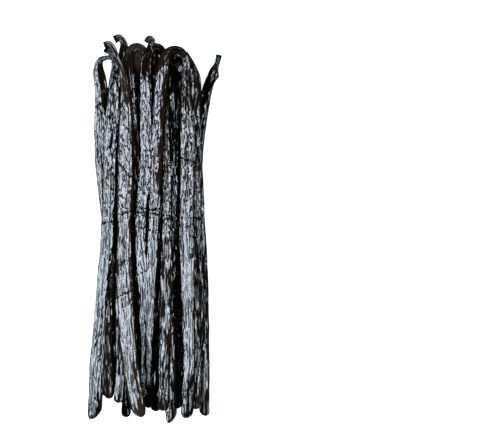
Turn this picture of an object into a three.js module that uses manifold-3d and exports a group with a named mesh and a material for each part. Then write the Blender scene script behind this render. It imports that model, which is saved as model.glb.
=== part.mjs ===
// A bundle of cured vanilla pods, lying on its back: seven pods in front, eleven behind them and eight
// on the table, their hooked stems at +Y and their blunt tips at -Y. The pods are few-sided and are
// fused to a flat core that fills the inside of the bundle, so the whole is one solid.
// Millimetres, +Z up. The origin is under the middle of the bundle, at the level of the table.

import * as THREE from 'three';
import { mergeVertices } from 'three/addons/utils/BufferGeometryUtils.js';
import Module from 'manifold-3d';

const wasm = await Module();
wasm.setup();

// ---- Driving dimensions ----

// Heights up the bundle at which each pod's place is stated, from the shoulder to the foot.
const STATIONS = [52, 26, 0, -26, -52];

// A pod's cross-section is wider than it is thick, and has this many sides.
const SIDES = 8;
const THICKNESS = 0.84;

// A binding once held the bundle here, so every pod is a little narrower round this height.
const WAIST_Y = 3;
const WAIST_REACH = 11;
const WAIST_PINCH = 0.08;

// Uneven growth makes a pod swell and shrink by this share of its width, over waves this long.
const SWELL = 0.045;
const SWELL_LENGTHS = [31, 17];

// Spacing of the rings of points along a stem and along a pod.
const STEM_STEP = 2.1;
const POD_STEP = 12.5;

// Length of the rounded end of a pod as a share of its width, and place of the ring on it.
const TIP_ROUNDING = 0.62;
const TIP_RING = 0.35;

// A stem is thicker at its cut end by this share, over this distance.
const STEM_FLARE = 0.3;
const STEM_FLARE_REACH = 1.6;

// The core is a flat block inside the bundle. Seen from above it is waisted, with round corners.
const CORE_TOP = 42;
const CORE_FOOT = -50;
const CORE_CENTRE_X = -1;
const CORE_HALF_WIDTH = { top: 15, waist: 14, foot: 15 };
const CORE_CORNER = 5;
const CORE_LOW = 2.8;
const CORE_HIGH = 6.6;

// ---- The pods ----

// Height of the centre line of a pod that lies flat on the table, at each of the STATIONS.
const ON_TABLE = [1.6, 1.6, 1.6, 1.6, 1.6];

// stem: route of the stem, from its cut end to the neck, in x, y, z.
// x, z: place of the pod's centre line at each of the STATIONS.
// tip: the end of the pod. width, stemWidth, tipWidth: how wide the middle, the stem and the tip are.
// neck: distance from the cut end over which the stem widens into the pod.
const PODS = {
  front_1: {
    stem: [[-18.1, 66.4, 9.6], [-15.8, 64.6, 9.8], [-14.4, 60.5, 10]],
    x: [-14.7, -16.4, -17.2, -19.7, -22.1],
    z: [10.2, 10.3, 10.4, 7.8, 4.2],
    tip: [-23.3, -71.3, 1.9],
    width: 5.1, stemWidth: 2.3, tipWidth: 4.9, neck: 16,
  },
  front_2: {
    stem: [[-18.4, 67.3, 12], [-16.6, 67.8, 12.2], [-15.1, 66.2, 12.3], [-13.8, 62.9, 12.1], [-12, 58.4, 11.8]],
    x: [-10.8, -10.5, -11, -10.6, -8.4],
    z: [11.4, 11, 11.1, 11, 10.2],
    tip: [-5.7, -69.6, 8.8],
    width: 5.8, stemWidth: 1.9, tipWidth: 5.8, neck: 44,
  },
  front_3: {
    stem: [[-2.6, 68.3, 12.3], [-1.8, 69.8, 11.9], [-0.9, 69.1, 11], [-1.4, 66.8, 10.7], [-2.5, 62.6, 10.7]],
    x: [-3, -3.2, -5.2, -3.8, -4.3],
    z: [10.6, 10.4, 10.2, 9.8, 9],
    tip: [-4.1, -62.2, 8],
    width: 4.8, stemWidth: 2.2, tipWidth: 2.6, neck: 14,
  },
  front_4: {
    stem: [[11.4, 63.4, 10.6], [9.9, 65.3, 11], [7.4, 66, 11.2], [4.9, 64.7, 11], [3.5, 60.8, 10.6]],
    x: [2.4, 0.7, -0.2, -1.6, -2.3],
    z: [10.3, 10.2, 10.3, 9.9, 9.2],
    tip: [-2.3, -58.6, 8.2],
    width: 4.9, stemWidth: 2, tipWidth: 2.5, neck: 17,
  },
  front_5: {
    stem: [[5, 63.2, 6.2], [4.5, 59.5, 6.6]],
    x: [3.7, 4.1, 4.5, 4.2, 3.3],
    z: [7.2, 8, 9, 9.4, 8.6],
    tip: [2.8, -67.7, 6.4],
    width: 4.6, stemWidth: 2.4, tipWidth: 4.2, neck: 90,
  },
  front_6: {
    stem: [[6.9, 64.1, 9.4], [8.7, 64.5, 9.6], [10.7, 63.6, 9.7], [11.7, 61, 9.9], [11.5, 57.6, 10]],
    x: [11.5, 12.3, 11.8, 12.1, 12.7],
    z: [10.2, 10.2, 10, 9.8, 8.8],
    tip: [11.7, -70.4, 6.6],
    width: 5.8, stemWidth: 2.3, tipWidth: 4.3, neck: 34,
  },
  front_7: {
    stem: [[10.8, 64.4, 8.4], [12.9, 61.6, 8.8], [14.6, 57.2, 9.1]],
    x: [15, 15.2, 15.3, 15.8, 15.5],
    z: [9.2, 8.6, 7.6, 6.6, 5.8],
    tip: [14.8, -67.4, 4.8],
    width: 4.2, stemWidth: 2.2, tipWidth: 3.8, neck: 13,
  },
  middle_1: {
    stem: [[-15, 63.1, 9.4], [-18, 63.1, 8.8], [-20.3, 62.3, 8], [-21.1, 59.4, 7.4]],
    x: [-20.2, -20, -17.9, -18.8, -18.5],
    z: [6.6, 6.4, 5.8, 5.4, 4.8],
    tip: [-18.7, -62.6, 4],
    width: 4.9, stemWidth: 1.6, tipWidth: 3.7, neck: 13,
  },
  middle_2: {
    stem: [[-14.4, 56.5, 6.2]],
    x: [-14.9, -16.3, -16.1, -17.4, -17.8],
    z: [6.4, 6.6, 7, 6.6, 5.6],
    tip: [-17.4, -63.4, 5],
    width: 3.9, stemWidth: 1.9, tipWidth: 3.4, neck: 16,
  },
  middle_3: {
    stem: [[-14.9, 69.5, 9.8], [-13.1, 70.3, 9.8], [-11.5, 68.6, 9.6], [-11.6, 64.8, 9.2], [-11.7, 60, 8.8]],
    x: [-12, -12.4, -12.3, -12.9, -13],
    z: [8.2, 7.2, 7, 7, 6.6],
    tip: [-13.9, -64.9, 5.6],
    width: 4, stemWidth: 2.4, tipWidth: 3.7, neck: 12,
  },
  middle_4: {
    stem: [[-3.6, 64, 9.4], [-4.5, 66, 9.8], [-6.7, 67, 10], [-9, 65.4, 9.8], [-9.5, 61.5, 9]],
    x: [-8.8, -7.7, -8, -6.9, -6.2],
    z: [8.2, 7.3, 7.2, 7.4, 7.2],
    tip: [-5.6, -66, 6],
    width: 4.2, stemWidth: 2.6, tipWidth: 3.7, neck: 16,
  },
  middle_5: {
    stem: [[3.1, 64.5, 9.2], [1.8, 66.5, 9.5], [-0.2, 66.8, 9.4], [-0.8, 62, 8.6]],
    x: [-0.6, -1, -1.7, -1.2, -0.2],
    z: [7.8, 7, 6.7, 6.8, 6.4],
    tip: [0.1, -68.1, 5.2],
    width: 4.1, stemWidth: 2.5, tipWidth: 3.7, neck: 18,
  },
  middle_6: {
    stem: [[0.8, 66, 7.6], [1.6, 60, 6.6]],
    x: [3, 3.2, 2.7, 2.6, 3.2],
    z: [5.8, 5.6, 5.6, 5.7, 5.2],
    tip: [3.4, -62, 4.8],
    width: 4.1, stemWidth: 3.2, tipWidth: 3.6, neck: 15,
  },
  middle_7: {
    stem: [[6.2, 63, 7.6], [6.5, 59, 7.6]],
    x: [6.8, 6.8, 6.3, 5.4, 5.7],
    z: [7.3, 7, 6.2, 6, 6],
    tip: [5.8, -72.2, 4.4],
    width: 4, stemWidth: 2.2, tipWidth: 3.8, neck: 14,
  },
  middle_8: {
    stem: [[8.3, 61.2, 8.9], [9.6, 58.8, 8.3], [11.2, 55.5, 6.9]],
    x: [11.8, 12, 11.4, 11.4, 11.7],
    z: [6, 5.9, 5.8, 5.7, 5.2],
    tip: [12.2, -63.5, 4.8],
    width: 4.1, stemWidth: 2.2, tipWidth: 3.7, neck: 15,
  },
  middle_9: {
    stem: [[23.4, 64.8, 3.4], [22.9, 62.2, 3.6], [22, 59.7, 3.9], [20.8, 56.4, 4.2]],
    x: [19.2, 15.6, 16.8, 17.5, 17.8],
    z: [4.5, 4.7, 4.2, 2.8, 1.7],
    tip: [17.9, -70.4, 1.4],
    width: 3.7, stemWidth: 1.9, tipWidth: 4.1, neck: 8,
  },
  middle_10: {
    stem: [[-11, 61, 6.2]],
    x: [-10.4, -10.5, -10.2, -10.2, -10.8],
    z: [5.6, 5.4, 5.3, 5.3, 5.1],
    tip: [-11.2, -70.4, 4.6],
    width: 3.9, stemWidth: 1.8, tipWidth: 3.8, neck: 14,
  },
  middle_11: {
    stem: [[-3.4, 62.5, 6]],
    x: [-4, -4.4, -4.9, -4.2, -3.6],
    z: [5.4, 5.3, 5.2, 5.2, 5],
    tip: [-3, -62, 4.6],
    width: 4.1, stemWidth: 2.6, tipWidth: 3.6, neck: 14,
  },
  back_1: {
    stem: [[-15.8, 57, 3.4]],
    x: [-17.4, -17.2, -16, -16.3, -16],
    z: ON_TABLE,
    tip: [-15.6, -62.3, ON_TABLE[4]],
    width: 4.2, stemWidth: 1.8, tipWidth: 3.8, neck: 15,
  },
  back_2: {
    stem: [[-13.8, 58, 2.6]],
    x: [-13, -12.9, -12.1, -12.4, -12.9],
    z: ON_TABLE,
    tip: [-13.4, -62.5, ON_TABLE[4]],
    width: 4.1, stemWidth: 1.8, tipWidth: 3.6, neck: 14,
  },
  back_3: {
    stem: [[-9.8, 61.5, 3]],
    x: [-9, -8.7, -8.2, -8.4, -8.3],
    z: ON_TABLE,
    tip: [-8, -61, ON_TABLE[4]],
    width: 4.2, stemWidth: 2.6, tipWidth: 3.9, neck: 15,
  },
  back_4: {
    stem: [[-6.5, 66.3, 7.4], [-6.4, 60.5, 6.6]],
    x: [-5.6, -4.7, -4.3, -4.5, -4],
    z: [5, 2.8, 1.6, 1.6, 1.6],
    tip: [-2.9, -67.4, 1.8],
    width: 4.2, stemWidth: 3.4, tipWidth: 3.8, neck: 15,
  },
  back_5: {
    stem: [[-0.6, 64, 2.4]],
    x: [-0.6, -0.4, -0.4, -0.4, 0.2],
    z: ON_TABLE,
    tip: [0.8, -61.5, ON_TABLE[4]],
    width: 4.1, stemWidth: 2.6, tipWidth: 3.7, neck: 15,
  },
  back_6: {
    stem: [[4.4, 62, 2.2]],
    x: [3.8, 3.9, 3.6, 3.7, 4.2],
    z: ON_TABLE,
    tip: [4.4, -64, ON_TABLE[4]],
    width: 4.2, stemWidth: 2.6, tipWidth: 3.8, neck: 15,
  },
  back_7: {
    stem: [[6.8, 65, 3]],
    x: [8.2, 8.3, 7.8, 8.2, 8.4],
    z: ON_TABLE,
    tip: [8.2, -67.6, ON_TABLE[4]],
    width: 4.3, stemWidth: 2.8, tipWidth: 3.8, neck: 15,
  },
  back_8: {
    stem: [[9.4, 64.3, 3]],
    x: [13, 12.9, 12.1, 12.9, 13.3],
    z: ON_TABLE,
    tip: [13.4, -60.5, ON_TABLE[4]],
    width: 4.1, stemWidth: 3.2, tipWidth: 3.8, neck: 15,
  },
};

// ---- Sizes along a pod ----

// The centre line from the cut stem end, through the stations, to the tip.
function centreLine(pod) {
  const points = [
    ...pod.stem.map((place) => new THREE.Vector3(...place)),
    ...STATIONS.map((y, i) => new THREE.Vector3(pod.x[i], y, pod.z[i])),
    new THREE.Vector3(...pod.tip),
  ];
  return new THREE.CatmullRomCurve3(points, false, 'centripetal');
}

// How much uneven growth widens the pod at a distance from its cut end.
function swell(distance, seed) {
  const waves = SWELL_LENGTHS.map((length, i) => {
    const turn = (2 * Math.PI * distance) / length;
    return Math.sin(turn + seed * (i + 1));
  });
  return 1 + (SWELL * waves.reduce((sum, wave) => sum + wave, 0)) / waves.length;
}

// Share of the full width that a rounded end leaves at a distance from that end.
function roundedEnd(distance, rounding) {
  const inside = THREE.MathUtils.clamp(1 - distance / rounding, 0, 1);
  return Math.sqrt(1 - inside * inside);
}

// Width of the pod at a distance from its cut end, before its ends are rounded.
function podWidth(pod, seed, distance, y) {
  const stem = pod.stemWidth * (1 + STEM_FLARE * Math.exp(-distance / STEM_FLARE_REACH));
  const grown = THREE.MathUtils.lerp(stem, pod.width, THREE.MathUtils.smoothstep(distance, 2, pod.neck));
  const towardsTip = THREE.MathUtils.clamp(y / STATIONS[4], 0, 1);
  const tapered = THREE.MathUtils.lerp(1, pod.tipWidth / pod.width, towardsTip);
  const waist = 1 - WAIST_PINCH * Math.exp(-(((y - WAIST_Y) / WAIST_REACH) ** 2));
  return grown * tapered * waist * swell(distance, seed);
}

// Distances from the cut end at which the pod has a ring of points: close together along the bent stem
// and round both ends, and far apart along the straight pod. The first two make the flat cut end.
function ringDistances(pod, length) {
  const stemLength = length - (STATIONS[0] - pod.tip[1]);
  const tipLength = pod.tipWidth * TIP_ROUNDING;
  const stemRings = Math.max(1, Math.round(stemLength / STEM_STEP));
  const podRings = Math.round((length - stemLength - tipLength) / POD_STEP);
  const rings = [0, 0];
  for (let i = 1; i <= stemRings; i += 1) {
    rings.push((stemLength * i) / (stemRings + 1));
  }
  for (let i = 0; i <= podRings; i += 1) {
    rings.push(stemLength + ((length - stemLength - tipLength) * i) / podRings);
  }
  rings.push(length - tipLength * TIP_RING, length);
  return rings;
}

// ---- Solids ----

function toManifold(geometry) {
  const bare = geometry.clone();
  bare.deleteAttribute('normal');
  bare.deleteAttribute('uv');
  const merged = mergeVertices(bare);
  return new wasm.Manifold(new wasm.Mesh({
    numProp: 3,
    vertProperties: new Float32Array(merged.attributes.position.array),
    triVerts: new Uint32Array(merged.index.array),
  }));
}

// One pod: a few-sided ball, its rings drawn out along the centre line. What would reach below the
// table is pressed flat on it.
function podSolid(pod, seed) {
  const line = centreLine(pod);
  line.arcLengthDivisions = 600;
  const length = line.getLength();
  const distances = ringDistances(pod, length);
  const geometry = new THREE.SphereGeometry(1, SIDES, distances.length - 1);
  const position = geometry.attributes.position;
  const up = new THREE.Vector3(0, 0, 1);
  const turn = Math.PI / SIDES;
  for (let ring = 0; ring < distances.length; ring += 1) {
    const distance = distances[ring];
    const centre = line.getPointAt(distance / length);
    const along = line.getTangentAt(distance / length);
    const across = new THREE.Vector3().crossVectors(up, along).normalize();
    const outward = new THREE.Vector3().crossVectors(along, across);
    const tipRounding = roundedEnd(length - distance, pod.tipWidth * TIP_ROUNDING);
    const isPole = ring === 0 || ring === distances.length - 1;
    const halfWidth = podWidth(pod, seed, distance, centre.y) / 2 / Math.cos(turn);
    const half = isPole ? 0 : halfWidth * tipRounding;
    for (let side = 0; side <= SIDES; side += 1) {
      const angle = (2 * Math.PI * side) / SIDES + turn;
      const point = centre.clone()
        .addScaledVector(across, -Math.cos(angle) * half)
        .addScaledVector(outward, Math.sin(angle) * half * THICKNESS);
      position.setXYZ(ring * (SIDES + 1) + side, point.x, point.y, Math.max(point.z, 0));
    }
  }
  return toManifold(geometry);
}

// The core: its outline, raised from its lower face to its upper one.
function coreSolid() {
  const { top, waist, foot } = CORE_HALF_WIDTH;
  const outline = new THREE.Shape();
  outline.moveTo(-foot + CORE_CORNER, CORE_FOOT);
  outline.lineTo(foot - CORE_CORNER, CORE_FOOT);
  outline.quadraticCurveTo(foot, CORE_FOOT, foot, CORE_FOOT + CORE_CORNER);
  outline.lineTo(waist, WAIST_Y);
  outline.lineTo(top, CORE_TOP - CORE_CORNER);
  outline.quadraticCurveTo(top, CORE_TOP, top - CORE_CORNER, CORE_TOP);
  outline.lineTo(-top + CORE_CORNER, CORE_TOP);
  outline.quadraticCurveTo(-top, CORE_TOP, -top, CORE_TOP - CORE_CORNER);
  outline.lineTo(-waist, WAIST_Y);
  outline.lineTo(-foot, CORE_FOOT + CORE_CORNER);
  outline.quadraticCurveTo(-foot, CORE_FOOT, -foot + CORE_CORNER, CORE_FOOT);
  const geometry = new THREE.ExtrudeGeometry(outline, {
    depth: CORE_HIGH - CORE_LOW,
    bevelEnabled: false,
    curveSegments: 3,
  });
  geometry.translate(CORE_CENTRE_X, 0, CORE_LOW);
  return toManifold(geometry);
}

// The pods and the core as one solid. Only its outer skin is kept, so no hollow stays inside.
function bundleSolid() {
  const pods = Object.values(PODS).map((pod, i) => podSolid(pod, i + 1));
  const fused = pods.reduce((sum, pod) => sum.add(pod), coreSolid());
  const skins = fused.decompose();
  return skins.reduce((largest, skin) => (skin.volume() > largest.volume() ? skin : largest));
}

function toGeometry(solid) {
  const mesh = solid.getMesh();
  const geometry = new THREE.BufferGeometry();
  geometry.setAttribute('position', new THREE.BufferAttribute(mesh.vertProperties, 3));
  geometry.setIndex(new THREE.BufferAttribute(mesh.triVerts, 1));
  geometry.computeVertexNormals();
  return geometry;
}

// ---- Material ----

// Cured pod skin: nearly black brown, oily and glossy.
function podSkin() {
  return new THREE.MeshStandardMaterial({ color: 0x2a1d15, roughness: 0.38, metalness: 0 });
}

// ---- The part ----

const bundle = new THREE.Mesh(toGeometry(bundleSolid()), podSkin());
bundle.name = 'vanilla_pods';

const part = new THREE.Group();
part.add(bundle);

export default part;
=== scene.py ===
# %% [markdown]
# # A bundle of cured vanilla pods
# Cured vanilla pods are long, flat-sided, oily fruits, nearly black, with fine wrinkles all along them.
# Some two dozen lie here side by side and on top of each other on a table, their hooked stems at +Y and
# their blunt tips at -Y. Each pod is a piece of its own, made by one function from one row of a table, so
# that the lesson is about one pod and the bundle is a loop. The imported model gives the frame: it is one
# solid with the same pods in it.

# %% Load the frame
import math

import bmesh
import bpy
import numpy as np
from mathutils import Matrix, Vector, noise


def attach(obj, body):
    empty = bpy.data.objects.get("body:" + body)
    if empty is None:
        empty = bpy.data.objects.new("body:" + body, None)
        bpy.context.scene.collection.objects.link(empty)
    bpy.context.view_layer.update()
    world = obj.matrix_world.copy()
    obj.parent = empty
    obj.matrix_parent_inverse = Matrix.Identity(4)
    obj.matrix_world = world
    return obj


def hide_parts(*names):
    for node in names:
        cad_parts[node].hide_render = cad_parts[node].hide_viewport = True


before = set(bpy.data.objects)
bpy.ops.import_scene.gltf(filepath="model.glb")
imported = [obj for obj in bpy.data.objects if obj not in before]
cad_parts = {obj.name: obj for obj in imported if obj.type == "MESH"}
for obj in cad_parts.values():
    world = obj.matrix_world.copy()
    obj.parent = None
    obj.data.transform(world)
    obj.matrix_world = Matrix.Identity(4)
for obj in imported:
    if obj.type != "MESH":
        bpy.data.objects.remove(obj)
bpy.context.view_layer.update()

MM = 0.001

# %% [markdown]
# ## The places of the pods
# A pod is bent where it was packed and where its stem hooks over, so a straight primitive won't do. It
# could be a curve object with a bevel, but a curve has no say over single wrinkles. Here a row states the
# route of the centre line instead, and the skin is pulled over that route later. The lengths are in
# millimetres: the stem from its cut end to the neck, then the place at five heights up the bundle, and then
# the tip. These are the same rows that the solid model was made from, so every pod lies where its solid
# lies.

# %% Table of pods
STATIONS = [52, 26, 0, -26, -52]
ON_TABLE = [1.6, 1.6, 1.6, 1.6, 1.6]


def pod(stem, x, z, tip, width, stem_width, tip_width, neck):
    """One row: the route of the centre line, the three widths, and how far down the neck reaches."""
    route = dict(stem=stem, x=x, z=z, tip=tip)
    return dict(route, width=width, stem_width=stem_width, tip_width=tip_width, neck=neck)


PODS = {
    "front_1": pod([[-18.1, 66.4, 9.6], [-15.8, 64.6, 9.8], [-14.4, 60.5, 10]],
                   [-14.7, -16.4, -17.2, -19.7, -22.1], [10.2, 10.3, 10.4, 7.8, 4.2],
                   [-23.3, -71.3, 1.9], 5.1, 2.3, 4.9, 16),
    "front_2": pod([[-18.4, 67.3, 12], [-16.6, 67.8, 12.2], [-15.1, 66.2, 12.3], [-13.8, 62.9, 12.1],
                    [-12, 58.4, 11.8]],
                   [-10.8, -10.5, -11, -10.6, -8.4], [11.4, 11, 11.1, 11, 10.2],
                   [-5.7, -69.6, 8.8], 5.8, 1.9, 5.8, 44),
    "front_3": pod([[-2.6, 68.3, 12.3], [-1.8, 69.8, 11.9], [-0.9, 69.1, 11], [-1.4, 66.8, 10.7],
                    [-2.5, 62.6, 10.7]],
                   [-3, -3.2, -5.2, -3.8, -4.3], [10.6, 10.4, 10.2, 9.8, 9],
                   [-4.1, -62.2, 8], 4.8, 2.2, 2.6, 14),
    "front_4": pod([[11.4, 63.4, 10.6], [9.9, 65.3, 11], [7.4, 66, 11.2], [4.9, 64.7, 11], [3.5, 60.8, 10.6]],
                   [2.4, 0.7, -0.2, -1.6, -2.3], [10.3, 10.2, 10.3, 9.9, 9.2],
                   [-2.3, -58.6, 8.2], 4.9, 2, 2.5, 17),
    "front_5": pod([[5, 63.2, 6.2], [4.5, 59.5, 6.6]],
                   [3.7, 4.1, 4.5, 4.2, 3.3], [7.2, 8, 9, 9.4, 8.6],
                   [2.8, -67.7, 6.4], 4.6, 2.4, 4.2, 90),
    "front_6": pod([[6.9, 64.1, 9.4], [8.7, 64.5, 9.6], [10.7, 63.6, 9.7], [11.7, 61, 9.9], [11.5, 57.6, 10]],
                   [11.5, 12.3, 11.8, 12.1, 12.7], [10.2, 10.2, 10, 9.8, 8.8],
                   [11.7, -70.4, 6.6], 5.8, 2.3, 4.3, 34),
    "front_7": pod([[10.8, 64.4, 8.4], [12.9, 61.6, 8.8], [14.6, 57.2, 9.1]],
                   [15, 15.2, 15.3, 15.8, 15.5], [9.2, 8.6, 7.6, 6.6, 5.8],
                   [14.8, -67.4, 4.8], 4.2, 2.2, 3.8, 13),
    "middle_1": pod([[-15, 63.1, 9.4], [-18, 63.1, 8.8], [-20.3, 62.3, 8], [-21.1, 59.4, 7.4]],
                    [-20.2, -20, -17.9, -18.8, -18.5], [6.6, 6.4, 5.8, 5.4, 4.8],
                    [-18.7, -62.6, 4], 4.9, 1.6, 3.7, 13),
    "middle_2": pod([[-14.4, 56.5, 6.2]],
                    [-14.9, -16.3, -16.1, -17.4, -17.8], [6.4, 6.6, 7, 6.6, 5.6],
                    [-17.4, -63.4, 5], 3.9, 1.9, 3.4, 16),
    "middle_3": pod([[-14.9, 69.5, 9.8], [-13.1, 70.3, 9.8], [-11.5, 68.6, 9.6], [-11.6, 64.8, 9.2],
                     [-11.7, 60, 8.8]],
                    [-12, -12.4, -12.3, -12.9, -13], [8.2, 7.2, 7, 7, 6.6],
                    [-13.9, -64.9, 5.6], 4, 2.4, 3.7, 12),
    "middle_4": pod([[-3.6, 64, 9.4], [-4.5, 66, 9.8], [-6.7, 67, 10], [-9, 65.4, 9.8], [-9.5, 61.5, 9]],
                    [-8.8, -7.7, -8, -6.9, -6.2], [8.2, 7.3, 7.2, 7.4, 7.2],
                    [-5.6, -66, 6], 4.2, 2.6, 3.7, 16),
    "middle_5": pod([[3.1, 64.5, 9.2], [1.8, 66.5, 9.5], [-0.2, 66.8, 9.4], [-0.8, 62, 8.6]],
                    [-0.6, -1, -1.7, -1.2, -0.2], [7.8, 7, 6.7, 6.8, 6.4],
                    [0.1, -68.1, 5.2], 4.1, 2.5, 3.7, 18),
    "middle_6": pod([[0.8, 66, 7.6], [1.6, 60, 6.6]],
                    [3, 3.2, 2.7, 2.6, 3.2], [5.8, 5.6, 5.6, 5.7, 5.2],
                    [3.4, -62, 4.8], 4.1, 3.2, 3.6, 15),
    "middle_7": pod([[6.2, 63, 7.6], [6.5, 59, 7.6]],
                    [6.8, 6.8, 6.3, 5.4, 5.7], [7.3, 7, 6.2, 6, 6],
                    [5.8, -72.2, 4.4], 4, 2.2, 3.8, 14),
    "middle_8": pod([[8.3, 61.2, 8.9], [9.6, 58.8, 8.3], [11.2, 55.5, 6.9]],
                    [11.8, 12, 11.4, 11.4, 11.7], [6, 5.9, 5.8, 5.7, 5.2],
                    [12.2, -63.5, 4.8], 4.1, 2.2, 3.7, 15),
    "middle_9": pod([[23.4, 64.8, 3.4], [22.9, 62.2, 3.6], [22, 59.7, 3.9], [20.8, 56.4, 4.2]],
                    [19.2, 15.6, 16.8, 17.5, 17.8], [4.5, 4.7, 4.2, 2.8, 1.7],
                    [17.9, -70.4, 1.4], 3.7, 1.9, 4.1, 8),
    "middle_10": pod([[-11, 61, 6.2]],
                     [-10.4, -10.5, -10.2, -10.2, -10.8], [5.6, 5.4, 5.3, 5.3, 5.1],
                     [-11.2, -70.4, 4.6], 3.9, 1.8, 3.8, 14),
    "middle_11": pod([[-3.4, 62.5, 6]],
                     [-4, -4.4, -4.9, -4.2, -3.6], [5.4, 5.3, 5.2, 5.2, 5],
                     [-3, -62, 4.6], 4.1, 2.6, 3.6, 14),
    "back_1": pod([[-15.8, 57, 3.4]], [-17.4, -17.2, -16, -16.3, -16], ON_TABLE,
                  [-15.6, -62.3, 1.6], 4.2, 1.8, 3.8, 15),
    "back_2": pod([[-13.8, 58, 2.6]], [-13, -12.9, -12.1, -12.4, -12.9], ON_TABLE,
                  [-13.4, -62.5, 1.6], 4.1, 1.8, 3.6, 14),
    "back_3": pod([[-9.8, 61.5, 3]], [-9, -8.7, -8.2, -8.4, -8.3], ON_TABLE,
                  [-8, -61, 1.6], 4.2, 2.6, 3.9, 15),
    "back_4": pod([[-6.5, 66.3, 7.4], [-6.4, 60.5, 6.6]],
                  [-5.6, -4.7, -4.3, -4.5, -4], [5, 2.8, 1.6, 1.6, 1.6],
                  [-2.9, -67.4, 1.8], 4.2, 3.4, 3.8, 15),
    "back_5": pod([[-0.6, 64, 2.4]], [-0.6, -0.4, -0.4, -0.4, 0.2], ON_TABLE,
                  [0.8, -61.5, 1.6], 4.1, 2.6, 3.7, 15),
    "back_6": pod([[4.4, 62, 2.2]], [3.8, 3.9, 3.6, 3.7, 4.2], ON_TABLE,
                  [4.4, -64, 1.6], 4.2, 2.6, 3.8, 15),
    "back_7": pod([[6.8, 65, 3]], [8.2, 8.3, 7.8, 8.2, 8.4], ON_TABLE,
                  [8.2, -67.6, 1.6], 4.3, 2.8, 3.8, 15),
    "back_8": pod([[9.4, 64.3, 3]], [13, 12.9, 12.1, 12.9, 13.3], ON_TABLE,
                  [13.4, -60.5, 1.6], 4.1, 3.2, 3.8, 15),
}
print(len(PODS), "pods:", ", ".join(PODS))

# %% [markdown]
# ## The centre line
# A smooth line has to go through the stated points. A centripetal Catmull-Rom spline does that without
# loops or overshoot where the points are unevenly spaced, as they are between a short hook and a long
# straight pod. Each stretch is a cubic, and its samples are then read by distance, because wrinkles have a
# size in millimetres along the pod and would stretch if they followed the spline's own parameter.

# %% Centre line by distance
SAMPLES_PER_STRETCH = 40


def centre_line(row):
    """Distances from the cut end, and the places on the centre line at them."""
    at_stations = [[x, y, z] for x, y, z in zip(row["x"], STATIONS, row["z"])]
    stated = np.array(row["stem"] + at_stations + [row["tip"]], float)
    p = np.vstack([2 * stated[0] - stated[1], stated, 2 * stated[-1] - stated[-2]])
    gap = np.sqrt(np.linalg.norm(np.diff(p, axis=0), axis=1))
    t = np.linspace(0, 1, SAMPLES_PER_STRETCH, endpoint=False)[:, None]
    places = []
    for i in range(1, len(p) - 2):
        before, here, after = gap[i - 1], gap[i], gap[i + 1]
        step = p[i + 1] - p[i]
        leave = here * ((p[i] - p[i - 1]) / before - (p[i + 1] - p[i - 1]) / (before + here)) + step
        arrive = here * ((p[i + 2] - p[i + 1]) / after - (p[i + 2] - p[i]) / (here + after)) + step
        squared = 3 * step - 2 * leave - arrive
        cubed = leave + arrive - 2 * step
        places.append(p[i] + leave * t + squared * t**2 + cubed * t**3)
    places = np.vstack(places + [stated[-1:]])
    distances = np.concatenate([[0], np.cumsum(np.linalg.norm(np.diff(places, axis=0), axis=1))])
    return distances, places


for name in ("front_1", "front_4", "middle_9"):
    print(name, "is", round(centre_line(PODS[name])[0][-1], 1), "mm long")

# %% [markdown]
# ## The width along a pod
# A pod isn't a tube of one width: its stem is thin and flares at the cut, the neck widens slowly, the
# middle swells and shrinks where it grew unevenly, and the bundle was once tied, which left every pod a
# little narrower there. Each of these is one factor, and the width is their product, so each can be tuned
# without touching the others. The flower end is blunt, and a dome a little longer than half a ball rounds
# it off.

# %% Width by distance
WAIST_Y, WAIST_REACH, WAIST_PINCH = 3, 11, 0.08
SWELL, SWELL_LENGTHS = 0.045, (31, 17)
STEM_FLARE, STEM_FLARE_REACH = 0.3, 1.6
STEM_END = 2
TIP_ROUNDING = 0.62


def smoothstep(x, low, high):
    t = np.clip((x - low) / (high - low), 0, 1)
    return t * t * (3 - 2 * t)


def near(x, middle, reach):
    """1 at the middle, falling smoothly to 0 a few reaches away."""
    return np.exp(-(((x - middle) / reach) ** 2))


def width_along(row, seed, distance, y):
    """Width at a distance from the cut end, where the pod is that far up the bundle."""
    stem = row["stem_width"] * (1 + STEM_FLARE * np.exp(-distance / STEM_FLARE_REACH))
    grown = stem + (row["width"] - stem) * smoothstep(distance, STEM_END, row["neck"])
    tapered = 1 + (row["tip_width"] / row["width"] - 1) * np.clip(y / STATIONS[-1], 0, 1)
    waves = [np.sin(2 * np.pi * distance / w + seed * (i + 1)) for i, w in enumerate(SWELL_LENGTHS)]
    waist = 1 - WAIST_PINCH * near(y, WAIST_Y, WAIST_REACH)
    return grown * tapered * waist * (1 + SWELL * sum(waves) / len(waves))


sample_width = width_along(PODS["front_6"], 6, np.array(80.0), np.array(-10.0))
print("front_6 is", round(float(sample_width), 2), "mm wide 80 mm from its cut end")

# %% [markdown]
# ## Rings along a pod
# The skin starts as a ball whose rings are drawn out along the centre line. Wrinkles run lengthwise, so
# rings may lie further apart than the points on a ring. They are closer on the bent stem and where the tie
# creased the pods. The first few make the cut end of the stem, a shallow cup with a rounded rim, and the
# last ones the blunt tip.

# %% Ring distances
CUT_END = [(0.3, 0.0), (0.26, 0.5), (0.1, 0.8), (0.0, 0.93), (0.09, 1.0)]
TIP_RINGS = 12
RING_GAP_STEM, RING_GAP_TIE, RING_GAP = 0.36, 0.36, 0.6
TIE_RINGS_Y, TIE_RINGS_REACH = WAIST_Y + 3, 6
FINE_STEPS = 2000


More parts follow.
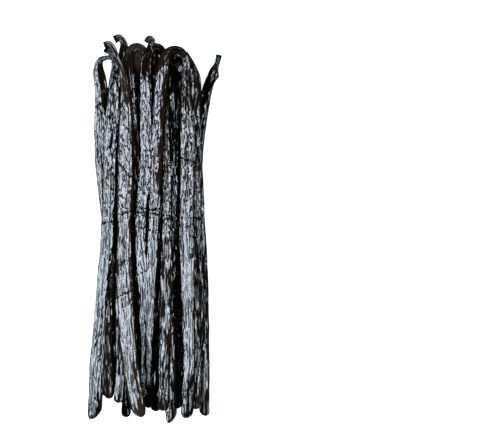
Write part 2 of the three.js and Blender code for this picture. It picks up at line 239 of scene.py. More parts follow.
def ring_places(row, distances, places, rings):
    """For each ring its distance from the cut end, and the share of the full width that it has."""
    length = distances[-1]
    rounding = row["tip_width"] * TIP_ROUNDING
    turn = np.linspace(0, np.pi / 2, TIP_RINGS + 1)
    tip = [(length - rounding * (1 - math.sin(t)), math.cos(t)) for t in turn]
    fine = np.linspace(CUT_END[-1][0], length - rounding, FINE_STEPS)
    y = np.interp(fine, distances, places[:, 1])
    gap = np.where(fine < length - (STATIONS[0] - row["tip"][1]), RING_GAP_STEM, RING_GAP)
    gap = np.minimum(gap, RING_GAP - (RING_GAP - RING_GAP_TIE) * near(y, TIE_RINGS_Y, TIE_RINGS_REACH))
    passed = np.concatenate([[0], np.cumsum(1 / gap)])[:-1]
    between = rings + 1 - len(CUT_END) - len(tip)
    even = np.linspace(0, passed[-1], between + 2)[1:-1]
    body = [(d, 1.0) for d in np.interp(even, passed, fine)]
    return np.array(CUT_END + body + tip)


line = centre_line(PODS["front_4"])
print("rings of front_4:", len(ring_places(PODS["front_4"], *line, 200)))

# %% [markdown]
# ## The relief of the skin
# A cured pod has shrunk, so its skin stands in folds: a few deep furrows that run most of its length, a
# close set of fine wrinkles that wander, part and meet, short crepe, most of it on the upper half, and
# ruckled folds where the tie held it. Sculpting them by hand isn't possible for two dozen pods, and a bump
# texture alone would leave the outline smooth. So the relief is worked out for every point of the skin in
# millimetres. Noise that is stretched lengthwise crosses zero along wandering lines: its absolute value is
# a sharp valley on each line with a rounded ridge between two of them.

# %% Noise on the skin
WRINKLE_PITCH, WRINKLE_LENGTH, WRINKLE_HEIGHT = 0.95, 6.5, 0.3
VALLEY_POWER, VALLEY_LEVEL = 0.7, 0.3
ROW_PITCH, ROW_LENGTH, ROW_MIDDLE, ROW_SPREAD = 2.0, 9.0, 0.65, 0.8
CREPE_PITCH, CREPE_LENGTH, CREPE_HEIGHT = 0.8, 2.4, 0.12
CREPE_FROM_TO, CREPE_LEAST = (-25, 15), 0.5
FURROW_PITCH, FURROW_LENGTH, FURROW_DEPTH, FURROW_WIDTH = 2.1, 40.0, 0.38, 0.11
WANDER_PITCH, WANDER_LENGTH, WANDER = 3.5, 15.0, 0.42
RUCK_PITCH, RUCK_LENGTH, RUCK_HEIGHT = 2.2, 1.1, 0.16
RUCK_Y, RUCK_REACH = WAIST_Y + 2, 8
SMOOTHED = 0.7
# every pattern reads its own stretch of the noise, so that no two are alike
NOISE_STEP = 31.7
FURROWS, WRINKLES, ROWS, RUCKS, CREPE, RAGGED, OIL = range(40, 281, 40)


def grain(angle, radius, distance, pitch, length, seed):
    """Smooth random numbers, mostly from -0.6 to 0.6, on a skin of that radius."""
    x, y = radius * np.cos(angle) / pitch + NOISE_STEP * seed, radius * np.sin(angle) / pitch
    return np.array([noise.noise(p) for p in zip(x.tolist(), y.tolist(), (distance / length).tolist())])


def crepe_share(y):
    """The upper half of a pod has dried to crepe, the lower half more to long straight lines."""
    return CREPE_LEAST + (1 - CREPE_LEAST) * smoothstep(y, *CREPE_FROM_TO)


def skin_relief(row, seed, angle, distance, y, smooth):
    """Height of the skin over the plain form, in mm. A smooth part has lower wrinkles."""
    radius = row["width"] / 2
    turned = angle + WANDER * grain(angle, radius, distance, WANDER_PITCH, WANDER_LENGTH, seed)
    furrow = grain(turned, radius, distance, FURROW_PITCH, FURROW_LENGTH, seed + FURROWS)
    wrinkle = grain(turned, radius, distance, WRINKLE_PITCH, WRINKLE_LENGTH, seed + WRINKLES)
    crepe = grain(turned, radius, distance, CREPE_PITCH, CREPE_LENGTH, seed + CREPE)
    height = ROW_MIDDLE + ROW_SPREAD * grain(angle, radius, distance, ROW_PITCH, ROW_LENGTH, seed + ROWS)
    ruck = grain(angle, radius, distance, RUCK_PITCH, RUCK_LENGTH, seed + RUCKS) * near(y, RUCK_Y, RUCK_REACH)
    relief = WRINKLE_HEIGHT * height * (np.abs(wrinkle) ** VALLEY_POWER - VALLEY_LEVEL)
    relief += CREPE_HEIGHT * crepe * crepe_share(y) - FURROW_DEPTH * near(furrow, 0, FURROW_WIDTH)
    return relief * (1 - SMOOTHED * smooth) + RUCK_HEIGHT * ruck


over_the_top = np.linspace(0, np.pi, 60)
sample = skin_relief(PODS["front_6"], 6, over_the_top, np.full(60, 90.0), np.full(60, -20.0), 0)
print("relief across front_6 goes from", round(sample.min(), 2), "to", round(sample.max(), 2), "mm")

# %% [markdown]
# ## Marks of single pods
# Some marks are too plain to leave to chance: the cross creases in the middle of the front pods, knobs on
# the skin, places where a pod is pinched, and sides where the skin is stretched smooth and shows brown.
# Each pod that has such a mark has a row of them, and each mark starts with its height up the bundle. An
# angle goes round the pod from its left side at 0, over its top at 90, to its right side at 180.

# %% Creases, knobs, pinches and brown sides
# height up the bundle, slope, depth, reach
CREASES = {
    "front_1": [(2.4, 0.2, 0.2, 0.35)],
    "front_2": [
        (21.3, -1.0, 0.55, 0.5), (5.7, 0.28, 0.5, 0.4), (-12.2, 0.6, 0.5, 0.45), (-23.8, 0.4, 0.45, 0.4),
    ],
    "front_3": [
        (7.7, -0.1, 0.45, 0.35), (6.1, 0.05, 0.4, 0.3), (4.7, 0.15, 0.5, 0.35), (-16, 0.4, 0.4, 0.45),
    ],
    "front_4": [(7.2, 0.1, 0.4, 0.35), (5.4, -0.1, 0.5, 0.35)],
    "front_5": [(3.5, 0.2, 0.25, 0.4)],
    "front_6": [(1.4, 0.05, 0.45, 0.35), (25.2, -0.3, 0.35, 0.4)],
    "front_7": [(4, -0.2, 0.3, 0.4)],
    "middle_1": [(6, 0.1, 0.3, 0.4)],
    "middle_9": [(5, 0.1, 0.3, 0.4)],
}
# the skin beside a crease stands up in a rim, as a share of its depth, and a crease fades on the underside
CREASE_RIM, CREASE_RIM_REACH, CREASE_FADES = 0.45, 2.4, (-0.5, 0.3)
# height up the bundle, angle, height over the skin, reach
KNOBS = {
    "front_3": [(66.5, 60, 0.3, 0.8)],
    "front_4": [(65.4, 180, 0.7, 1.0)],
    "front_6": [(27.4, 130, 0.4, 1.0), (60.9, 70, 0.45, 0.9)],
    "middle_7": [(-67.5, 30, 0.5, 1.3)],
    "middle_9": [(57.4, 175, 0.75, 1.1)],
}
# height up the bundle, share that the pod is narrower, reach
PINCHES = {
    "front_2": [(21.3, 0.06, 1.5)],
    "front_3": [(-47, 0.42, 11)],
    "front_4": [(-47, 0.25, 9)],
    "middle_7": [(-65.2, 0.3, 1.2)],
    "middle_9": [(60.8, 0.12, 1.2)],
}
# upper and lower end, angle, reach in degrees, how smooth
BROWN_SIDES = {
    "front_1": [(-60, -72, 150, 50, 0.4)],
    "front_2": [(67, 44, 110, 100, 0.35), (46, 36, 165, 45, 0.4), (-48, -70, 150, 55, 0.3)],
    "front_3": [(67, 56, 110, 60, 0.5), (-28, -60, 160, 75, 0.4)],
    "front_4": [(57, 12, 155, 55, 0.9), (66, 60, 60, 60, 0.5), (-40, -60, 15, 55, 0.4)],
    "front_5": [(-30, -55, 150, 30, 0.1)],
    "front_6": [(60, 44, 125, 35, 0.6), (-52, -70, 130, 60, 0.4)],
    "front_7": [(20, -10, 165, 30, 0.3)],
    "middle_1": [(62, 44, 150, 65, 1.0)],
    "middle_3": [(62, 50, 60, 60, 0.5)],
    "middle_4": [(70, 57, 90, 150, 0.7)],
    "middle_5": [(69, 56, 90, 120, 0.7)],
    "middle_7": [(-30, -60, 160, 35, 0.1)],
    "middle_9": [(-30, -65, 170, 50, 0.3)],
    "back_4": [(68, 54, 90, 120, 0.8)],
}
SIDE_FADE, SIDE_END_FADE = 0.5, 4
RAGGED_PITCH, RAGGED_LENGTH, RAGGED_SHARE = 1.7, 5.0, 0.6
BROWN_FROM, BROWN_TO = 0.35, 0.75


def turn_between(angle, degrees):
    """How far round the pod the angle is from that many degrees, in radians, at most half a turn."""
    return np.abs((angle - math.radians(degrees) + np.pi) % (2 * np.pi) - np.pi)


def brown_and_smooth(name, angle, y, ragged):
    """How brown and how smooth the skin is. The ragged noise breaks up the edge of a brown side."""
    brown, smooth = np.zeros_like(angle), np.zeros_like(angle)
    for top, foot, side, reach, smoothness in BROWN_SIDES.get(name, []):
        outer, inner = math.radians(reach * (1 + SIDE_FADE)), math.radians(reach * (1 - SIDE_FADE))
        round_it = smoothstep(turn_between(angle, side), outer, inner)
        below_top = smoothstep(-y, -top - SIDE_END_FADE, -top + SIDE_END_FADE)
        above_foot = smoothstep(y, foot - SIDE_END_FADE, foot + SIDE_END_FADE)
        along_it = above_foot * below_top
        share = smoothstep(round_it * along_it + RAGGED_SHARE * ragged, BROWN_FROM, BROWN_TO)
        brown, smooth = np.maximum(brown, share), np.maximum(smooth, share * smoothness)
    return brown, smooth


def creased(name, y, aside):
    """How far each point is in a cross crease, from 0 to 1, and the depth of that crease in mm."""
    inside, depths = np.zeros_like(y), np.zeros_like(y)
    for at, slope, depth, reach in CREASES.get(name, []):
        crease = near(y, at + slope * aside, reach)
        inside = np.maximum(inside, crease)
        depths += depth * (crease - CREASE_RIM * near(y, at + slope * aside, reach * CREASE_RIM_REACH))
    return inside, depths


def knobs(name, angle, y, radius):
    """Height that knobs add to the skin, in mm."""
    height = np.zeros_like(y)
    for at, side, rise, reach in KNOBS.get(name, []):
        height += rise * near(y, at, reach) * near(turn_between(angle, side) * radius, 0, reach)
    return height


MARKS = {"creases": CREASES, "knobs": KNOBS, "pinches": PINCHES, "brown sides": BROWN_SIDES}
for title, marks in MARKS.items():
    print(sum(len(rows) for rows in marks.values()), title, "on", len(marks), "pods")

# %% [markdown]
# ## Oily and dry skin
# Curing and sweating bring a pod's oil to its surface, but not everywhere alike. Thin stems, tips and the
# cut end stay dull. Skin in a crease, the flanks and the pods inside the bundle are made dull as well:
# that is painted shade, which darkens the creases and the gaps between pods where shade falls. Some pods
# have also dried paler than others. One material could be made for every pod, but two dozen of them would
# be hard to tune together. Here each pod has five numbers, and every point of the skin keeps its own share
# of oil, with that painted shade in it, and of paleness, which a single material reads.

# %% Shares of oil and of pale skin
# the low shares of oil on the middle pods are painted shade for the dark inside of the bundle
# how oily the skin is on the stem, above the waist and below it, then how pale it is above and below
SKINS = {
    "front_1": (0.5, 1.1, 1.4, 0.0, 0.0),
    "front_2": (0.5, 1.05, 1.0, 0.4, 0.4),
    "front_3": (0.45, 1.4, 1.3, 0.0, 0.1),
    "front_4": (0.4, 1.1, 1.2, 0.15, 0.1),
    "front_5": (0.4, 1.4, 0.65, 0.15, 0.2),
    "front_6": (1.1, 0.9, 1.3, 0.15, 0.0),
    "front_7": (0.45, 0.8, 0.65, 0.12, 0.1),
    "middle_1": (0.5, 0.9, 0.85, 0.05, 0.1),
    "middle_2": (0.3, 0.3, 0.4, 0.1, 0.15),
    "middle_3": (0.4, 0.45, 0.7, 0.1, 0.2),
    "middle_4": (0.6, 0.2, 0.0, 0.1, 0.0),
    "middle_5": (0.5, 0.2, 0.1, 0.0, 0.0),
    "middle_7": (0.4, 0.3, 0.6, 0.0, 0.1),
    "middle_8": (1.0, 0.1, 0.1, 0.0, 0.0),
    "middle_9": (0.4, 0.35, 0.6, 0.0, 0.1),
    "middle_10": (0.3, 0.15, 0.3, 0.0, 0.0),
}
# pods hidden in the bundle get little oil, which is painted shade there
SHADED_HIDDEN_SKIN = (0.25, 0.1, 0.08, 0.0, 0.0)
UPPER_ENDS_Y, LOWER_STARTS_Y = 20, -10
STEM_SKIN_ENDS, POD_SKIN_STARTS = 6, 28
OIL_PATCHES, OIL_PATCH_PITCH, OIL_PATCH_LENGTH, MOST_OIL = 0.6, 3.5, 16.0, 1.3
# the last of these dulls the skin in a crease: painted shade in the crease
DRY_BROWN, DRY_SMOOTH, SHADED_CREASE = 0.5, 0.4, 0.9
DRY_TIP, DRY_TIP_REACH, DRY_CUT_REACH = 0.55, 6.0, 1
# dull flanks are painted shade, which darkens the gaps between pods
SHADED_FLANK, SHADED_FLANK_FROM, SHADED_FLANK_TO = 0.95, 0.68, 0.92
# height up the bundle, how pale, reach; a patch lies on the stem and is gone where that ends
PALE_PATCHES = {
    "front_3": [(68.3, 1.0, 0.7)],
    "middle_4": [(66.5, 0.4, 2.5)],
    "back_4": [(63, 0.8, 3.0)],
}
PALE_STEM, PALE_STEM_GONE = 6, 12
PALE_CUT, PALE_CUT_REACH = 0.3, 0.25


def lower_share(y):
    """0 on the upper part of a pod and 1 on its lower part."""
    return smoothstep(-y, -UPPER_ENDS_Y, -LOWER_STARTS_Y)


def oil_and_shade_share(name, angle, distance, from_tip, y, brown, smooth, patches):
    """How oily: low on stems, tips and brown skin, and as painted shade on flanks and hidden pods."""
    on_stem, upper, lower = SKINS.get(name, SHADED_HIDDEN_SKIN)[:3]
    on_pod = upper + (lower - upper) * lower_share(y)
    oil_and_shade = on_stem + (on_pod - on_stem) * smoothstep(distance, STEM_SKIN_ENDS, POD_SKIN_STARTS)
    # the dull flank is painted shade in the gaps between pods
    flank = smoothstep(np.abs(np.cos(angle)), SHADED_FLANK_FROM, SHADED_FLANK_TO)
    oil_and_shade = np.clip(oil_and_shade + OIL_PATCHES * patches, 0, MOST_OIL) * (1 - DRY_BROWN * brown - DRY_SMOOTH * smooth)
    oil_and_shade *= 1 - near(distance, 0, DRY_CUT_REACH)
    return oil_and_shade * (1 - DRY_TIP * near(from_tip, 0, DRY_TIP_REACH)) * (1 - SHADED_FLANK * flank)


def pale_share(name, y, from_cut):
    """How pale the skin is: a dry pod all over, a patch here and there, and the cut end of every stem."""
    upper, lower = SKINS.get(name, SHADED_HIDDEN_SKIN)[3:]
    pale = upper + (lower - upper) * lower_share(y)
    for at, share, reach in PALE_PATCHES.get(name, []):
        on_stem = smoothstep(-from_cut, -PALE_STEM_GONE, -PALE_STEM)
        pale = np.maximum(pale, share * near(y, at, reach) * on_stem)
    return np.maximum(pale, PALE_CUT * near(from_cut, 0, PALE_CUT_REACH))


sample = pale_share("front_6", np.array([40.0, -40.0]), np.array([30.0, 110.0]))
print("front_6 is pale by", sample.round(2), "above and below the waist")

# %% [markdown]
# ## One pod
# The bmesh starts as a ball, which is closed and has even rings. Each of its points knows its ring from its
# height and its angle from its place round the axis, so the ball can be pulled over the centre line: ring
# by ring to its place along the pod, and out from the centre line by half the width there. A cross-section
# isn't round: pods press each other squarish, and they have two or three low lobes, which turn slowly along
# the pod. For the finish the skin keeps its own coordinates in millimetres, so that fine grain follows the
# pod, and how brown, oily, pale and crepe it is. The oily share also holds painted shade in the gaps and
# creases.

# %% Plain form of a pod
THICKNESS = 0.84
SQUARENESS = 3.0
LOBES = [(2, 0.05, 70.0), (3, 0.035, 45.0)]


def ball_grid(bm, around, rings):
    """Makes the ball, and gives the angle and the ring number of each of its points."""
    bmesh.ops.create_uvsphere(bm, u_segments=around, v_segments=rings, radius=1)
    ball = np.array([v.co for v in bm.verts])
    angle = np.arctan2(ball[:, 1], ball[:, 0])
    ring = np.rint(np.arccos(np.clip(ball[:, 2], -1, 1)) / np.pi * rings).astype(int)
    return angle, ring


def unit(vectors):
    """The same directions with a length of 1."""
    return vectors / np.linalg.norm(vectors, axis=1)[:, None]


def axes_along(distances, places, distance):
    """Places on the centre line, and at each of them the ways along it, across it and out of it."""
    centre = np.stack([np.interp(distance, distances, places[:, k]) for k in range(3)], axis=1)
    slope = np.gradient(places, distances, axis=0)
    along = unit(np.stack([np.interp(distance, distances, slope[:, k]) for k in range(3)], axis=1))
    across = unit(np.cross([0, 0, 1], along))
    return centre, along, across, np.cross(along, across)


def plain_radius(name, row, seed, angle, distance, y):
    """Half the width of the pod at each angle, before its skin is wrinkled."""
    half = width_along(row, seed, distance, y) / 2
    for at, pinch, reach in PINCHES.get(name, []):
        half *= 1 - pinch * near(y, at, reach)
    half *= (np.abs(np.cos(angle)) ** SQUARENESS + np.abs(np.sin(angle)) ** SQUARENESS) ** (-1 / SQUARENESS)
    for count, size, length in LOBES:
        half *= 1 + size * np.cos(count * angle + 2 * np.pi * distance / length + seed)
    return half


sample = plain_radius("front_6", PODS["front_6"], 6, over_the_top, np.full(60, 62.0), np.full(60, 3.0))
print("front_6 at the tie has a radius from", round(sample.min(), 2), "to", round(sample.max(), 2), "mm")

# %% Pull a ball over a centre line
FULL_RELIEF_RADIUS, LEAST_RELIEF = 2, 0.35
TIP_PLEATS, TIP_PLEAT_HEIGHT, TIP_PLEAT_AT, TIP_PLEAT_REACH = 7, 0.2, 0.6, 1.3
SLANTED_TIPS = {
    "front_1": 0.7, "front_2": -0.35, "front_6": 0.25, "middle_7": 0.75, "middle_9": -0.3, "back_7": 0.4,
}
SLANT_REACH = 3.2
# how far the skin's own coordinates are moved on from pod to pod, so that no two share their grain
SKIN_STEP = 9.1


def keep_on_points(bm, values, skin):
    """Stores the values and the skin's own coordinates on the points, in layers that a material can read."""
    layers = [(bm.verts.layers.float.new(key), value.tolist()) for key, value in values.items()]
    skin_layer = bm.verts.layers.float_vector.new("skin_mm")
    for i, (vert, own) in enumerate(zip(bm.verts, skin)):
        vert[skin_layer] = own
        for layer, value in layers:
            vert[layer] = value[i]


def pod_bmesh(name, row, seed, around, rings):
    """The pod as a bmesh in metres, with its finish and the skin's own coordinates as layers."""
    bm = bmesh.new()
    angle, ring = ball_grid(bm, around, rings)
    distances, places = centre_line(row)
    distance, share = ring_places(row, distances, places, rings)[ring].T
    centre, along, across, outward = axes_along(distances, places, distance)
    y = centre[:, 1]
    from_tip = distances[-1] - distance
    radius = row["width"] / 2

    half = plain_radius(name, row, seed, angle, distance, y)
    ragged = grain(angle, radius, distance, RAGGED_PITCH, RAGGED_LENGTH, seed + RAGGED)
    brown, smooth = brown_and_smooth(name, angle, y, ragged)
    relief = skin_relief(row, seed, angle, distance, y, smooth)
    relief *= np.clip(half / FULL_RELIEF_RADIUS, LEAST_RELIEF, 1)
    in_crease, depth = creased(name, y, -np.cos(angle) * half)
    relief += knobs(name, angle, y, radius) - depth * smoothstep(np.sin(angle), *CREASE_FADES)
    pleats = TIP_PLEAT_HEIGHT * np.cos(TIP_PLEATS * angle + seed)
    relief += pleats * near(from_tip, TIP_PLEAT_AT, TIP_PLEAT_REACH)

    out = (half + relief) * share
    place = centre - (np.cos(angle) * out)[:, None] * across
    place += (np.sin(angle) * out * THICKNESS)[:, None] * outward
    slant = SLANTED_TIPS.get(name, 0) * np.cos(angle) * out * near(from_tip, 0, SLANT_REACH)
    place += slant[:, None] * along
    # the table presses flat what would go through it
    place[:, 2] = np.maximum(place[:, 2], 0)
    for vert, spot in zip(bm.verts, place * MM):
        vert.co = spot

    patches = grain(angle, radius, distance, OIL_PATCH_PITCH, OIL_PATCH_LENGTH, seed + OIL)
    oil_and_shade = oil_and_shade_share(name, angle, distance, from_tip, y, brown, smooth, patches)
    finish = {
        "brown": brown,
        # dull skin in a crease is painted shade
        "oil_and_shade": oil_and_shade * (1 - SHADED_CREASE * in_crease),
        "pale": pale_share(name, y, distance),
        "crepe": crepe_share(y),
    }
    skin = np.stack([radius * np.cos(angle) + SKIN_STEP * seed, radius * np.sin(angle), distance], axis=1)
    keep_on_points(bm, finish, skin)
    for face in bm.faces:
        face.smooth = True
    bmesh.ops.recalc_face_normals(bm, faces=bm.faces)
    return bm


def piece(name, bm, material):
    """Turns a bmesh into a finished piece of the bundle that stands for the solid one."""
    mesh = bpy.data.meshes.new(name)
    bm.to_mesh(mesh)
    bm.free()
    mesh.materials.append(material)
    made = bpy.data.objects.new(name, mesh)
    bpy.context.scene.collection.objects.link(made)
    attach(made, "root")
    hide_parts("vanilla_pods")
    return made


# %% [markdown]
# ## Colours and nodes
# Colours are stated as sRGB hex values, as a colour picker shows them, but shaders work in linear light, so
# one function turns them. A second one adds a node, sets or links its inputs by name and sets its own
# options.

# %% Colour and node helpers
def linear(code):
    """An sRGB hex colour as linear red, green, blue and 1."""
    parts = [int(code[i:i + 2], 16) / 255 for i in (1, 3, 5)]
    return [c / 12.92 if c <= 0.04045 else ((c + 0.055) / 1.055) ** 2.4 for c in parts] + [1]


def add(tree, kind, inputs=None, **options):
    """A new node. An input is a value, or the output of another node to link."""
    node = tree.nodes.new(kind)
    for key, value in options.items():
        setattr(node, key, value)
    for key, value in (inputs or {}).items():
        if isinstance(value, bpy.types.NodeSocket):
            tree.links.new(value, node.inputs[key])
        else:
            node.inputs[key].default_value = value
    return node


def new_material(name):
    material = bpy.data.materials.new(name)
    material.use_nodes = True
    material.node_tree.nodes.clear()
    return material


print("dark chocolate brown in linear light:", [round(c, 4) for c in linear("#2b1a12")[:3]])

# %% [markdown]
# ## Cured pod skin
# The skin of a cured vanilla pod is nearly black, with red brown where it is thin or stretched smooth. Its
# oil makes it glossy like polished leather: a film, clear and smooth, over a skin that scatters light and
# has next to no shine of its own, which is why its IOR is close to 1. That is a base with a coat on it, and
# noise opens the film into flecks where the skin is less oily. The film's IOR is higher than the 1.47 of an
# oil: real glints are smaller and brighter than this grain can give them, and the higher value makes up for
# that. The grain is finer than the modelled wrinkles: hair lines and pits. On a real pod they are about a
# quarter of a millimetre apart. That would be too fine to show, so they are drawn at about two thirds of a
# millimetre. Both are drawn from the skin's own coordinates, so they follow each pod, and both break the
# shine into short dashes.

# %% Skin material
SKIN_BLACK, SKIN_DARK, SKIN_BROWN, SKIN_PALE = "#010100", "#040302", "#0c0603", "#33281e"
SKIN_IOR, SKIN_ROUGHNESS = 1.04, 0.5
OIL_IOR, OIL_ROUGHNESS = 1.9, 0.1
BLOTCH_PITCH, BLOTCH_LENGTH = 3.0, 9.0
FLECK_PITCH, FLECK_LENGTH, FLECK_BROWN = 0.9, 3.0, 0.3
FILM_PITCH, FILM_LENGTH, FILM_EDGE, FILM_START = 0.75, 5.0, 2.5, 0.4
HAIRLINE_PITCH, HAIRLINE_LENGTH, HAIRLINE_HEIGHT = 0.65, 6.0, 1.0
PIT_PITCH, PIT_LENGTH, PIT_HEIGHT = 0.6, 1.7, 0.58


def spots(tree, across, along, detail):
    """Noise in the skin's own coordinates, with spots that are so many millimetres wide and long."""
    own = add(tree, "ShaderNodeAttribute", attribute_name="skin_mm").outputs["Vector"]
    scale = (1 / across, 1 / across, 1 / along)
    stretched = add(tree, "ShaderNodeMapping", {"Vector": own, "Scale": scale}).outputs[0]
    return add(tree, "ShaderNodeTexNoise", {"Vector": stretched, "Scale": 1, "Detail": detail}).outputs[0]


def skin_colour(tree):
    """Black to dark in wide blotches, brown in flecks and on brown sides, and pale where it is dry."""
    blotch, fleck = spots(tree, BLOTCH_PITCH, BLOTCH_LENGTH, 2), spots(tree, FLECK_PITCH, FLECK_LENGTH, 1)
    on_side = add(tree, "ShaderNodeAttribute", attribute_name="brown").outputs["Fac"]
    pale = add(tree, "ShaderNodeAttribute", attribute_name="pale").outputs["Fac"]
    tone = add(tree, "ShaderNodeMapRange", {"Value": blotch, "From Min": 0.35, "From Max": 0.7})
    dark = add(tree, "ShaderNodeMix", {
        "Factor": tone.outputs[0], "A": linear(SKIN_BLACK), "B": linear(SKIN_DARK),
    }, data_type="RGBA")
    in_fleck = add(tree, "ShaderNodeMapRange", {
        "Value": fleck, "From Min": 0.45, "From Max": 0.75, "To Max": FLECK_BROWN,
    })
    brown = add(tree, "ShaderNodeMath", {0: on_side, 1: in_fleck.outputs[0]}, operation="MAXIMUM")
    browned = add(tree, "ShaderNodeMix", {
        "Factor": brown.outputs[0], "A": dark.outputs["Result"], "B": linear(SKIN_BROWN),
    }, data_type="RGBA")
    dried = add(tree, "ShaderNodeMix", {
        "Factor": pale, "A": browned.outputs["Result"], "B": linear(SKIN_PALE),
    }, data_type="RGBA")
    return dried.outputs["Result"]


def oil_film_and_shade(tree):
    """Film on the skin: the share a point keeps, with its painted shade, less the noise that opens it."""
    oil_and_shade = add(tree, "ShaderNodeAttribute", attribute_name="oil_and_shade").outputs["Fac"]
    film = spots(tree, FILM_PITCH, FILM_LENGTH, 1)
    bare = add(tree, "ShaderNodeMapRange", {"Value": film, "From Min": 0.3, "From Max": 0.7})
    over = add(tree, "ShaderNodeMath", {0: oil_and_shade, 1: bare.outputs[0]}, operation="SUBTRACT")
    shine = add(tree, "ShaderNodeMath", {
        0: over.outputs[0], 1: FILM_EDGE, 2: FILM_START,
    }, operation="MULTIPLY_ADD", use_clamp=True)
    return shine.outputs[0]


def skin_grain(tree):
    """A bump of hair lines with pits over them, which are deepest where the skin is crepe."""
    hairs, pits = spots(tree, HAIRLINE_PITCH, HAIRLINE_LENGTH, 0), spots(tree, PIT_PITCH, PIT_LENGTH, 0)
    crepe = add(tree, "ShaderNodeAttribute", attribute_name="crepe").outputs["Fac"]
    lines = add(tree, "ShaderNodeBump", {"Height": hairs, "Distance": HAIRLINE_HEIGHT * MM})
    pitted = add(tree, "ShaderNodeMath", {0: pits, 1: crepe}, operation="MULTIPLY")
    bump = add(tree, "ShaderNodeBump", {
        "Height": pitted.outputs[0], "Distance": PIT_HEIGHT * MM, "Normal": lines.outputs[0],
    })
    return bump.outputs[0]


def skin_material():
    material = new_material("cured_vanilla_skin")
    tree = material.node_tree
    bump = skin_grain(tree)
    skin = add(tree, "ShaderNodeBsdfPrincipled", {
        "Base Color": skin_colour(tree), "Roughness": SKIN_ROUGHNESS, "IOR": SKIN_IOR,
        "Coat Weight": oil_film_and_shade(tree), "Coat Roughness": OIL_ROUGHNESS, "Coat IOR": OIL_IOR,
        "Normal": bump, "Coat Normal": bump,
    })
    add(tree, "ShaderNodeOutputMaterial", {"Surface": skin.outputs[0]})
    return material


POD_SKIN = skin_material()
print(POD_SKIN.name, "has", len(POD_SKIN.node_tree.nodes), "nodes")

# %% [markdown]
# ## All pods
# Pods on the outside of the bundle have enough points for every wrinkle. The ones that lie inside it or
# under it are made in the same way with fewer.

# %% Make the pods
FINE, PLAIN = (96, 250), (64, 150)
INSIDE = {"middle_6", "middle_8", "middle_11", "back_1", "back_2", "back_3", "back_5", "back_6", "back_8"}
triangles = 0
for seed, (name, row) in enumerate(PODS.items(), 1):
    around, rings = PLAIN if name in INSIDE else FINE
    made = piece("pod_" + name, pod_bmesh(name, row, seed, around, rings), POD_SKIN)
    triangles += sum(len(p.vertices) - 2 for p in made.data.polygons)
print(len(PODS), "pods with", triangles, "triangles")

# %% [markdown]
# ## The dark inside
# Between the pods one sees only darkness, because more pods lie behind. A flat core closes the gaps: a
# block, rounded at its ends and edges and ribbed lengthwise, so that a glimpse of it is a glimpse of
# another pod. Its points carry no share of oil, so the material gives it no film: a dull dark block that is
# partly painted shade in the gaps and partly a stand-in for the hidden pods.

# %% Core of the bundle
CORE_FOOT, CORE_TOP, CORE_LOW, CORE_HIGH = -50, 42, 2.8, 6.4
CORE_WIDTH, CORE_MIDDLE_X = 29.0, -1
CORE_RIB, CORE_RIB_HEIGHT = 4.1, 0.5
CORE_END_ROUNDING, CORE_END_POWER, CORE_EDGE_ROUNDING = 0.25, 8, 0.12
CORE_CUTS = 30


def core_place(x, y, z):
    """Where a point of a cube of side 1 goes in the core, in mm."""
    full = math.sqrt(max(0.0, 1 - (2 * abs(y)) ** CORE_END_POWER))
    end = full * CORE_END_ROUNDING + (1 - CORE_END_ROUNDING)
    edge = 1 - CORE_EDGE_ROUNDING * (2 * z) ** 2
    rib = CORE_RIB_HEIGHT * math.cos(2 * math.pi * x * CORE_WIDTH / CORE_RIB) * 2 * z
    across = x * CORE_WIDTH * end * edge + CORE_MIDDLE_X
    along = (y + 0.5) * (CORE_TOP - CORE_FOOT) + CORE_FOOT
    return Vector((across, along, CORE_LOW + (CORE_HIGH - CORE_LOW) * (z + 0.5) + rib))


def core_bmesh():
    bm = bmesh.new()
    bmesh.ops.create_cube(bm, size=1)
    bmesh.ops.subdivide_edges(bm, edges=bm.edges, cuts=CORE_CUTS, use_grid_fill=True)
    skin_layer = bm.verts.layers.float_vector.new("skin_mm")
    for vert in bm.verts:
        vert.co = core_place(*vert.co) * MM
        vert[skin_layer] = vert.co / MM
    for face in bm.faces:
        face.smooth = True
    bmesh.ops.recalc_face_normals(bm, faces=bm.faces)
    return bm


core = piece("bundle_core", core_bmesh(), POD_SKIN)
print("core:", [round(v / MM, 1) for v in core.dimensions], "mm")

# %% [markdown]
# ## Floor, light and camera
# The floor is a plain sheet of pale paper that goes on past the view. It gives off some light of its own,
# because lamps that are bright enough to make it white would wash out the pods. The light is soft, slightly
# cool and comes from several places: a wide window almost overhead, a brighter one lower down at the left,
# a small skylight at the upper left, a small lamp at the right, and a faint glow from the whole ceiling.
# Area lamps could do this, but they would light the near floor more than the far one. Sun lamps with a wide
# disc light it all alike, and the width of the disc is the size of the window that the shine shows. The
# camera looks straight down through a long lens, so the pods are seen almost without perspective, and the
# bundle lies in the left half of the view.

# %% Stage
FLOOR_HALF = 3.0
FLOOR_PAPER = "#c0c0c0"
FLOOR_GLOW = 0.75
FIBRES_PER_METRE, FIBRE_HEIGHT = 900, 0.02


def paper_material():
    material = new_material("pale_paper")
    tree = material.node_tree
    place = add(tree, "ShaderNodeTexCoord").outputs["Object"]
    fibre = add(tree, "ShaderNodeTexNoise", {"Vector": place, "Scale": FIBRES_PER_METRE, "Detail": 2})
    bump = add(tree, "ShaderNodeBump", {"Height": fibre.outputs[0], "Distance": FIBRE_HEIGHT * MM})
    paper = add(tree, "ShaderNodeBsdfPrincipled", {
        "Base Color": linear(FLOOR_PAPER), "Roughness": 0.9, "Specular IOR Level": 0.2,
        "Normal": bump.outputs[0], "Emission Color": linear("#ffffff"), "Emission Strength": FLOOR_GLOW,
    })
    add(tree, "ShaderNodeOutputMaterial", {"Surface": paper.outputs[0]})
    return material


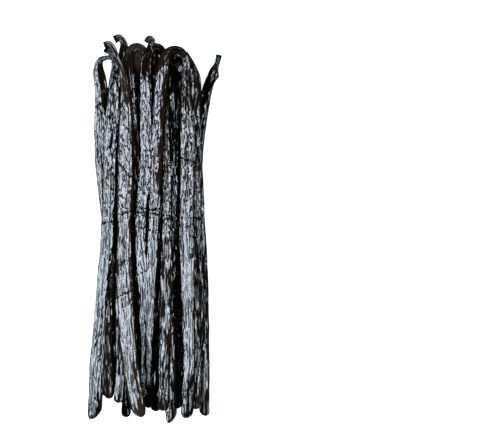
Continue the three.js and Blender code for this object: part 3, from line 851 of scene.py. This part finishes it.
bm = bmesh.new()
bmesh.ops.create_grid(bm, x_segments=1, y_segments=1, size=FLOOR_HALF)
floor_mesh = bpy.data.meshes.new("floor")
bm.to_mesh(floor_mesh)
bm.free()
floor_mesh.materials.append(paper_material())
floor = bpy.data.objects.new("floor", floor_mesh)
bpy.context.scene.collection.objects.link(floor)
print("floor:", round(floor.dimensions.x, 1), "m wide")


# %% Lights
def window(name, towards, disc_degrees, brightness, colour):
    """A soft light from far away. Its disc, as wide as that angle, is that bright all over."""
    lamp = bpy.data.lights.new(name, "SUN")
    lamp.angle = math.radians(disc_degrees)
    lamp.energy = brightness * math.pi * math.sin(lamp.angle / 2) ** 2
    lamp.color = linear(colour)[:3]
    made = bpy.data.objects.new(name, lamp)
    made.rotation_mode = "QUATERNION"
    made.rotation_quaternion = Vector(towards).to_track_quat("Z", "Y")
    bpy.context.scene.collection.objects.link(made)
    print(name, "gives", round(lamp.energy, 2), "W/m2")


ROOM_COLOUR, ROOM_STRENGTH = "#dfe8f5", 0.03

window("window_near", (-0.1, -0.2, 1), 54, 6.9, "#e0eefe")
window("window_far", (-1.6, -0.2, 1), 38, 8.5, "#dcebff")
window("skylight", (-0.5, 0.3, 1), 14, 18.0, "#f4f8ff")
window("lamp_right", (0.8, 0.1, 1), 12, 16.0, "#f6f8ff")
window("ceiling", (-0.1, -0.05, 1), 90, 1.1, "#eef2f6")

world = bpy.data.worlds.new("studio")
world.use_nodes = True
world.node_tree.nodes["Background"].inputs["Color"].default_value = linear(ROOM_COLOUR)
world.node_tree.nodes["Background"].inputs["Strength"].default_value = ROOM_STRENGTH
bpy.context.scene.world = world
bpy.context.scene.view_settings.view_transform = "Standard"

# %% Camera
VIEW_CENTRE, VIEW_PLANE_Z, VIEW_DISTANCE, VIEW_WIDTH = (35.06, 2.59), 8.0, 429.0, 185.0
SENSOR_WIDTH = 36.0

lens = bpy.data.cameras.new("camera")
lens.sensor_width = SENSOR_WIDTH
lens.lens = SENSOR_WIDTH * VIEW_DISTANCE / VIEW_WIDTH
lens.clip_start, lens.clip_end = 0.01, 10
camera = bpy.data.objects.new("camera", lens)
camera.location = Vector((*VIEW_CENTRE, VIEW_PLANE_Z + VIEW_DISTANCE)) * MM
bpy.context.scene.collection.objects.link(camera)
bpy.context.scene.camera = camera
print("lens of", round(lens.lens, 1), "mm, from", round(camera.location.z, 3), "m up")
